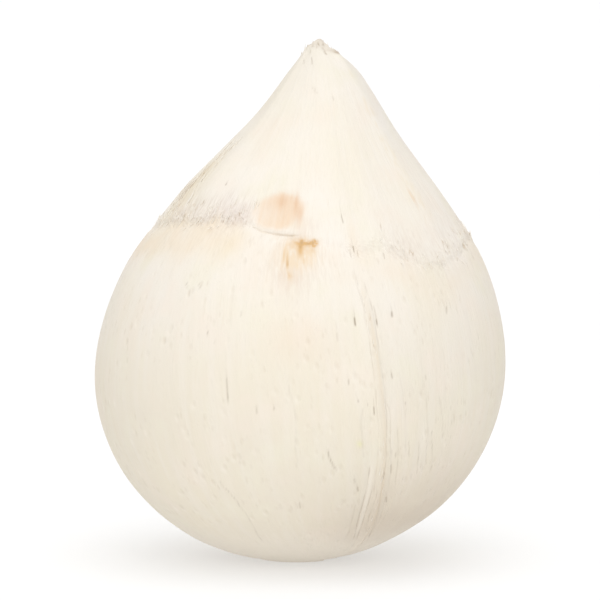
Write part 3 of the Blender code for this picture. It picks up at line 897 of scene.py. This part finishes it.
def shavedFibre():
    look = huskFinish
    material, tree, shader = newMaterial("shavedFibre")
    shader.inputs["Specular IOR Level"].default_value = look["specular"]
    space = addNode(tree, "Attribute", attribute_name="fibreSpace").outputs["Vector"]
    object3d = addNode(tree, "TexCoord").outputs["Object"]

    def mapped(across, length, place):
        # the fibres' own space, scaled
        ring = fibreSet["widest"] / across
        return addNode(tree, "Mapping", {"Vector": space, "Location": place,
                                                   "Scale": (ring, ring, 1 / length)}).outputs[0]

    def noisy(vector, scale, detail):
        return addNode(tree, "TexNoise", {"Vector": vector, "Scale": scale, "Detail": detail}).outputs[0]

    def between(value, low, high, toLow=0.0, toHigh=1.0):
        return addNode(tree, "MapRange", {"Value": value, "From Min": low, "From Max": high,
                                                    "To Min": toLow, "To Max": toHigh}).outputs[0]

    def mixed(factor, first, second):
        return addNode(tree, "Mix", {0: factor, 6: first, 7: second}, data_type="RGBA").outputs[2]

    def times(first, second):
        return addNode(tree, "Math", {0: first, 1: second}, operation="MULTIPLY").outputs[0]

    def mask(name):
        return addNode(tree, "Attribute", attribute_name=name).outputs["Fac"]

    patterns = {name: noisy(object3d, scale, 2.0) for name, scale in look["clouds"].items()}
    groups = times(between(patterns["groups"], look["groupsFrom"], look["groupsTo"]), mask("rough"))
    for name, (across, length, detail, place) in look["streaks"].items():
        patterns[name] = noisy(mapped(across, length, (place, place, 0)), 1.0, detail)
    for name, (across, length, full, end, place) in look["flecks"].items():
        # short pits, and the painted highlight rims round the dimples, longer along the fibres, in loose groups
        cells = addNode(tree, "TexVoronoi", {"Vector": mapped(across, length, place), "Scale": 1.0})
        patterns[name] = times(between(cells.outputs["Distance"], full, end, 1.0, 0.0), groups)
    # chalk above and cream below: darker towards the bottom, partly painted shade
    colour = mixed(mask("low"), look["chalk"], look["cream"])
    for name, low, high, strength, tint in look["layers"]:
        colour = mixed(between(patterns[name], low, high, 0.0, strength), colour, look[tint])
    frayed = mask("fray")
    # light and dark streaks over the torn fibres, partly painted highlight and shade
    for low, high, strength, tint in look["frayedLightAndShadeLayers"]:
        colour = mixed(times(between(patterns["fray"], low, high, 0.0, strength), frayed), colour, look[tint])
    for name, strength in look["stains"]:
        colour = mixed(times(mask(name), strength), colour, look[name])
    tree.links.new(colour, shader.inputs["Base Color"])
    tree.links.new(between(patterns["threads"], 0.3, 0.7, *look["roughness"]), shader.inputs["Roughness"])
    relief = times(times(patterns["fray"], frayed), look["frayedRelief"])
    for name, size in look["relief"]:
        relief = addNode(tree, "Math", {0: patterns[name], 1: size, 2: relief},
                         operation="MULTIPLY_ADD").outputs[0]
    bumpy(tree, shader, look, relief)
    return material


# torn fibres that stand off the skin: copies of one sliver, each with its own mesh

sliverSet = {
    "seed": 21,
    "sides": 4, "radius": 0.35,
    # each ring: step along, width against the ring before, rise
    "rings": ((0.3, 1.35, 0.3), (0.35, 0.68, 0.45), (0.35, 0.22, 0.3)),
    "thickness": 0.7,  # against the width
    "sink": 0.00007,  # how deep its root sits
    "step": 0.0006,  # how far up the fibre's direction is measured
    "crease": (
        # fibres from and to, how many, middle and spread of the height over the crease
        (-84, -25, 120, 0.0017, 0.0021), (17, 92, 80, 0.0014, 0.0019), (92, 276, 150, 0.0014, 0.0018),
    ),
    "creaseLowest": -0.0012, "creaseHanging": 0.25,  # least height over the crease, share that points down
    "creaseLengths": (0.0011, 0.0032), "creaseWidths": (0.00016, 0.00032), "creaseTilts": (3, 13),
    "creaseSwerve": 9,
    "stripCount": 42, "stripFibres": (-84, -62), "stripHeights": (0.1, 0.119),
    "stripLengths": (0.0026, 0.006), "stripWidths": (0.00016, 0.00034), "stripTilts": (0.5, 4.0), "stripSwerve": 4,
    "tipCount": 34, "tipFibres": (-180, 180), "tipHeights": (0.1452, 0.1484),
    "tipLengths": (0.0009, 0.002), "tipWidths": (0.00014, 0.0003), "tipTilts": (6, 24), "tipSwerve": 14,
    "strandCount": 34, "strandFibres": (10.2, 13.2), "strandHeights": (0.006, 0.086),
    "strandLengths": (0.0022, 0.0042), "strandWidths": (0.00014, 0.00024), "strandTilts": (0.0, 1.6),
    "strandSwerve": 3,
}


def modelSliver():
    # a thin spindle up Z, one unit long and about one wide, that leans over towards Y
    bpy.ops.object.select_all(action="DESELECT")
    bpy.ops.mesh.primitive_circle_add(vertices=sliverSet["sides"], radius=sliverSet["radius"], fill_type="NGON")
    sliver = bpy.context.object
    editMode("FACE", "SELECT")
    up = over = 0
    for step, width, rise in sliverSet["rings"]:
        bpy.ops.mesh.extrude_region_move(TRANSFORM_OT_translate={"value": (0, rise, step)})
        up, over = up + step, over + rise
        bpy.ops.transform.resize(value=(width, width, 1), center_override=(0, over, up))
    bpy.ops.mesh.select_all(action="SELECT")
    bpy.ops.mesh.normals_make_consistent(inside=False)
    bpy.ops.object.mode_set(mode="OBJECT")
    return sliver


def skinFrame(tree, fibre, height):
    # a point of the finished skin, the way out of it, and the way up along its fibre
    at = skinPoint(tree, fibre, height)
    upward = (skinPoint(tree, fibre, height + sliverSet["step"]) - at).normalized()
    outward = tree.find_nearest(at)[1]
    return at, (outward - upward * outward.dot(upward)).normalized(), upward


def growSlivers(name, sliver, tree, roots, finish):
    # roots: fibre, height, length, width, tilt off the skin and swerve along it, in degrees
    bpy.ops.object.select_all(action="DESELECT")
    copies = []
    for fibre, height, length, width, tilt, swerve in roots:
        at, outward, upward = skinFrame(tree, fibre, height)
        way = Matrix.Rotation(math.radians(swerve), 3, outward) @ upward
        side = outward.cross(way)
        lean = Matrix.Rotation(math.radians(tilt), 3, -side)
        way, outer = lean @ way, lean @ outward
        turn = Matrix((side * width, outer * width * sliverSet["thickness"], way * length)).transposed().to_4x4()
        copy = bpy.data.objects.new(name, sliver.data.copy())
        copy.data.transform(Matrix.Translation(at - outward * sliverSet["sink"]) @ turn)
        bpy.context.collection.objects.link(copy)
        copy.select_set(True)
        copies.append(copy)
    bpy.context.view_layer.objects.active = copies[0]
    bpy.ops.object.join()
    piece = bpy.context.object
    piece.name = name
    bpy.ops.object.shade_smooth()
    piece.data.materials.append(finish)
    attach(piece, "root")
    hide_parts("coconut")
    print(name, len(roots), "slivers,", len(piece.data.polygons), "faces")


def growTornFibres(husk):
    draw = random.Random(sliverSet["seed"])
    tree = surfaceTree(husk)
    sliver = modelSliver()

    def sized(kind):
        return [draw.uniform(*sliverSet[kind + part]) for part in ("Lengths", "Widths", "Tilts")]

    def scattered(kind):
        fibres, heights, swerve = [sliverSet[kind + part] for part in ("Fibres", "Heights", "Swerve")]
        return [(draw.uniform(*fibres), draw.uniform(*heights), *sized(kind), draw.gauss(0, swerve))
                for number in range(sliverSet[kind + "Count"])]

    creaseRoots = []
    for first, last, count, middle, spread in sliverSet["crease"]:
        for number in range(count):
            fibre = turned(draw.uniform(first, last))
            height = float(creaseAt(fibre)) + max(sliverSet["creaseLowest"], draw.gauss(middle, spread))
            flip = 180 if draw.random() < sliverSet["creaseHanging"] else 0
            creaseRoots.append((fibre, height, *sized("crease"), draw.gauss(flip, sliverSet["creaseSwerve"])))
    stripRoots, tipRoots, strandRoots = scattered("strip"), scattered("tip"), scattered("strand")
    light, grey = tornFibre("tornFibre"), tornFibre("tipFibre")
    growSlivers("creaseFibres", sliver, tree, creaseRoots, light)
    growSlivers("stripFibres", sliver, tree, stripRoots, light)
    growSlivers("strandFibres", sliver, tree, strandRoots, light)
    growSlivers("tipFibres", sliver, tree, tipRoots, grey)
    bpy.data.objects.remove(sliver)


fibreFinish = {
    # light and dark colour, how dark fibres are shared out, roughness
    "tornFibre": ((0.9, 0.85, 0.77, 1), (0.7, 0.6, 0.48, 1), (0.54, 0.68), (0.6, 0.85)),
    "tipFibre": ((0.79, 0.725, 0.62, 1), (0.6, 0.52, 0.415, 1), (0.4, 0.62), (0.65, 0.9)),
    "scale": 420.0, "grain": 3000.0, "detail": 2.0, "bump": 0.4, "bumpDepth": 0.00004, "specular": 0.15,
}


def tornFibre(name):
    look = fibreFinish
    light, dark, (low, high), (smooth, rough) = look[name]
    material, tree, shader = newMaterial(name)
    shader.inputs["Specular IOR Level"].default_value = look["specular"]
    object3d = addNode(tree, "TexCoord").outputs["Object"]
    tone, grain = [addNode(tree, "TexNoise", {"Vector": object3d, "Scale": look[scale],
                                                        "Detail": look["detail"]}).outputs[0]
                   for scale in ("scale", "grain")]
    share = addNode(tree, "MapRange", {"Value": tone, "From Min": low, "From Max": high}).outputs[0]
    colour = addNode(tree, "Mix", {0: share, 6: light, 7: dark}, data_type="RGBA").outputs[2]
    tree.links.new(colour, shader.inputs["Base Color"])
    matt = addNode(tree, "MapRange", {"Value": grain, "To Min": smooth, "To Max": rough}).outputs[0]
    tree.links.new(matt, shader.inputs["Roughness"])
    bumpy(tree, shader, look, grain)
    return material


guide = makeGuide(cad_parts["coconut"])
guideTree = surfaceTree(guide)
print("guide ready,", len(guide.data.polygons), "faces")
husk = shaveHuskSheet(guideTree)
bpy.data.objects.remove(guide)
husk.data.materials.append(shavedFibre())
selectOnly(husk)
bpy.ops.object.shade_smooth()
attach(husk, "root")
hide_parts("coconut")
growTornFibres(husk)
print("husk finished")

bpy.context.scene.view_settings.view_transform = "Standard"
